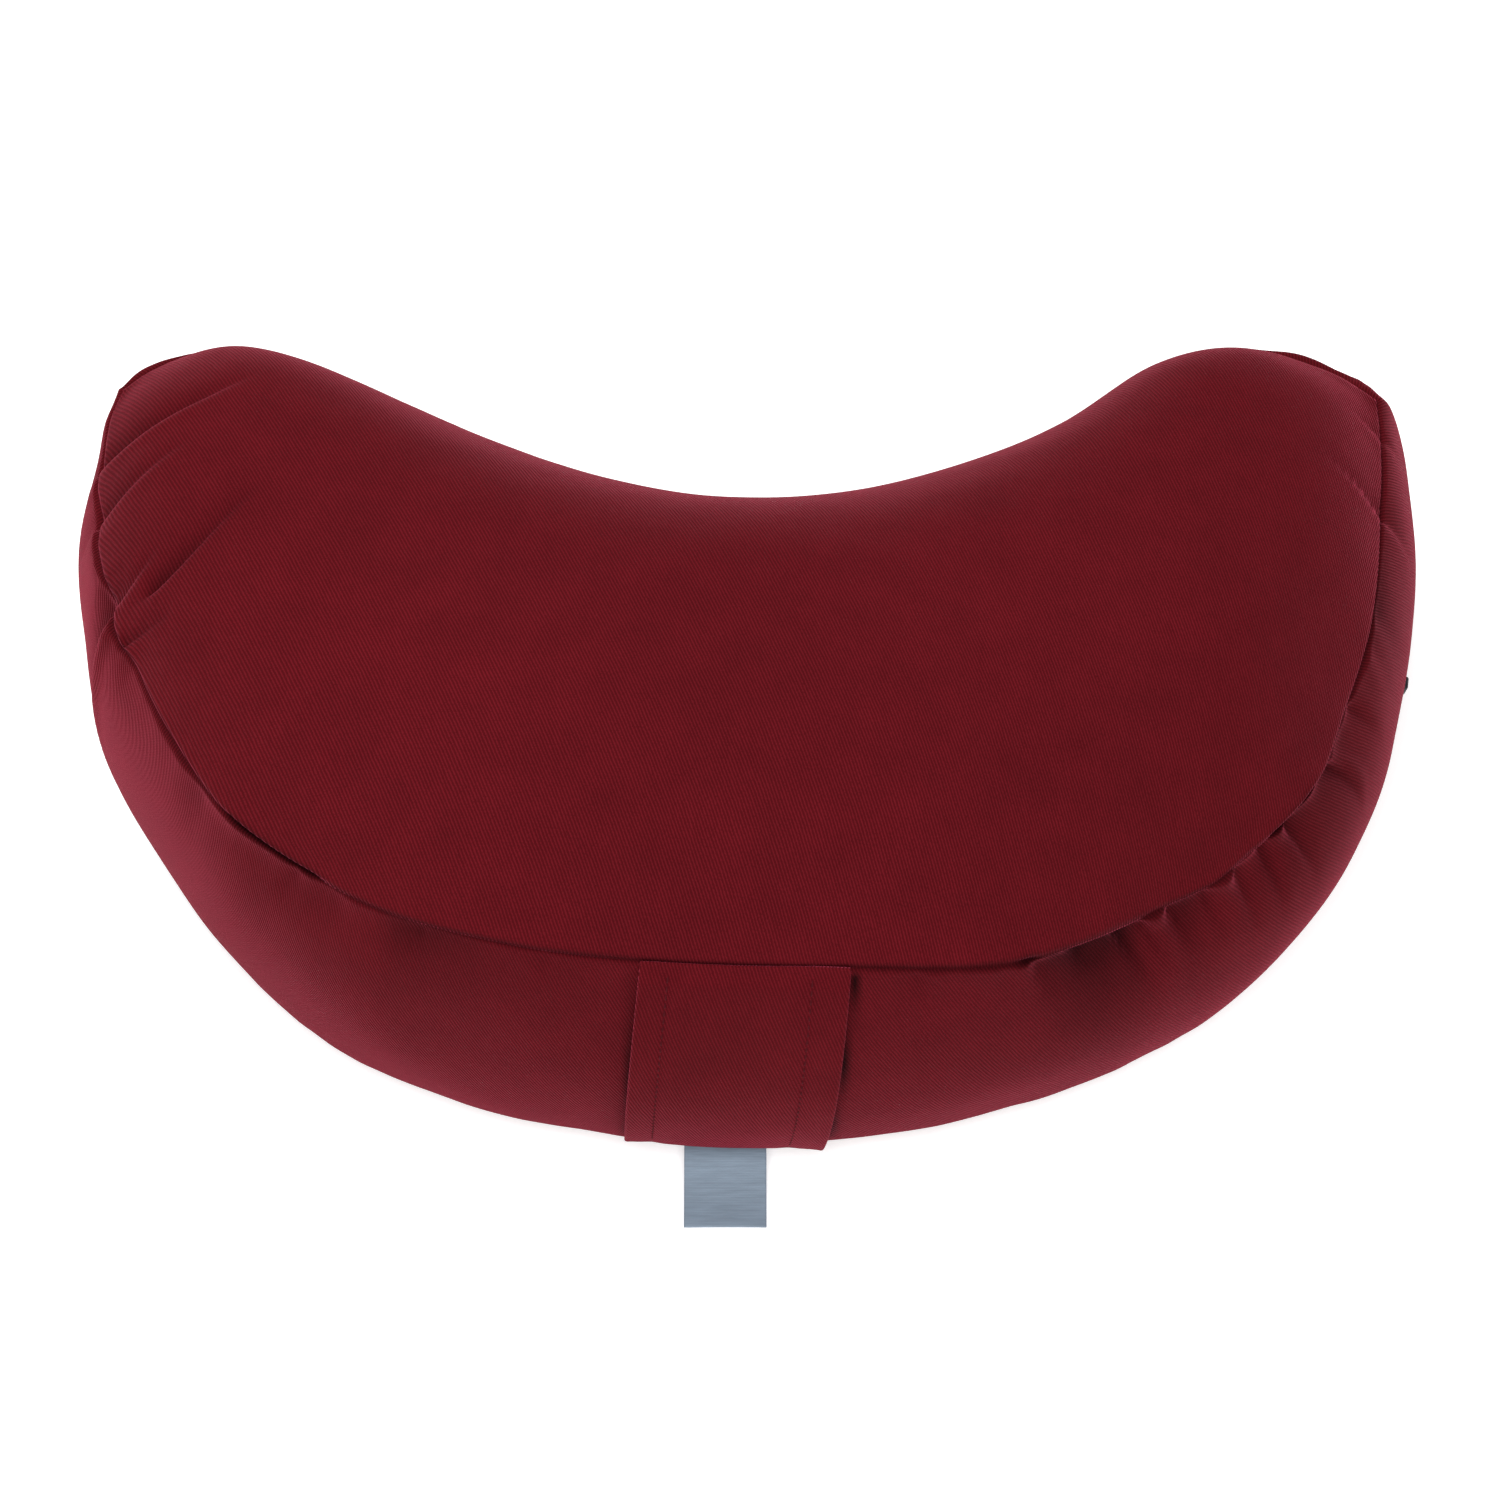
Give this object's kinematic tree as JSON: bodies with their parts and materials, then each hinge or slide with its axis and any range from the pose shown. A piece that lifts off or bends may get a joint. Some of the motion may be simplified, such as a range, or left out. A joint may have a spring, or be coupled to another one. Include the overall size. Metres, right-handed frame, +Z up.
{
  "type": "meditation cushion",
  "caption": "Crescent-shaped meditation cushion: firm filling in a twill cover with a sewn side band, a flat carrying handle and a zip.",
  "frame": {"origin": "on the flat underside, midway along the cushion's length", "axes": "+X along the cushion's length, towards the end where the zip stops; +Y from the convex front towards the concave back; +Z up, away from the floor"},
  "size_m": [0.4507, 0.2865, 0.1494],
  "materials": {
    "cover": "burgundy cotton twill, matt",
    "handle": "the same twill, doubled and stitched",
    "label": "plain woven ribbon",
    "zip": "dark grey enamel, satin"
  },
  "bodies": {
    "root": {"cushion": "cover", "handle": "handle", "label": "label", "zip_slider": "zip", "zip_pull": "zip"}
  },
  "joints": []
}
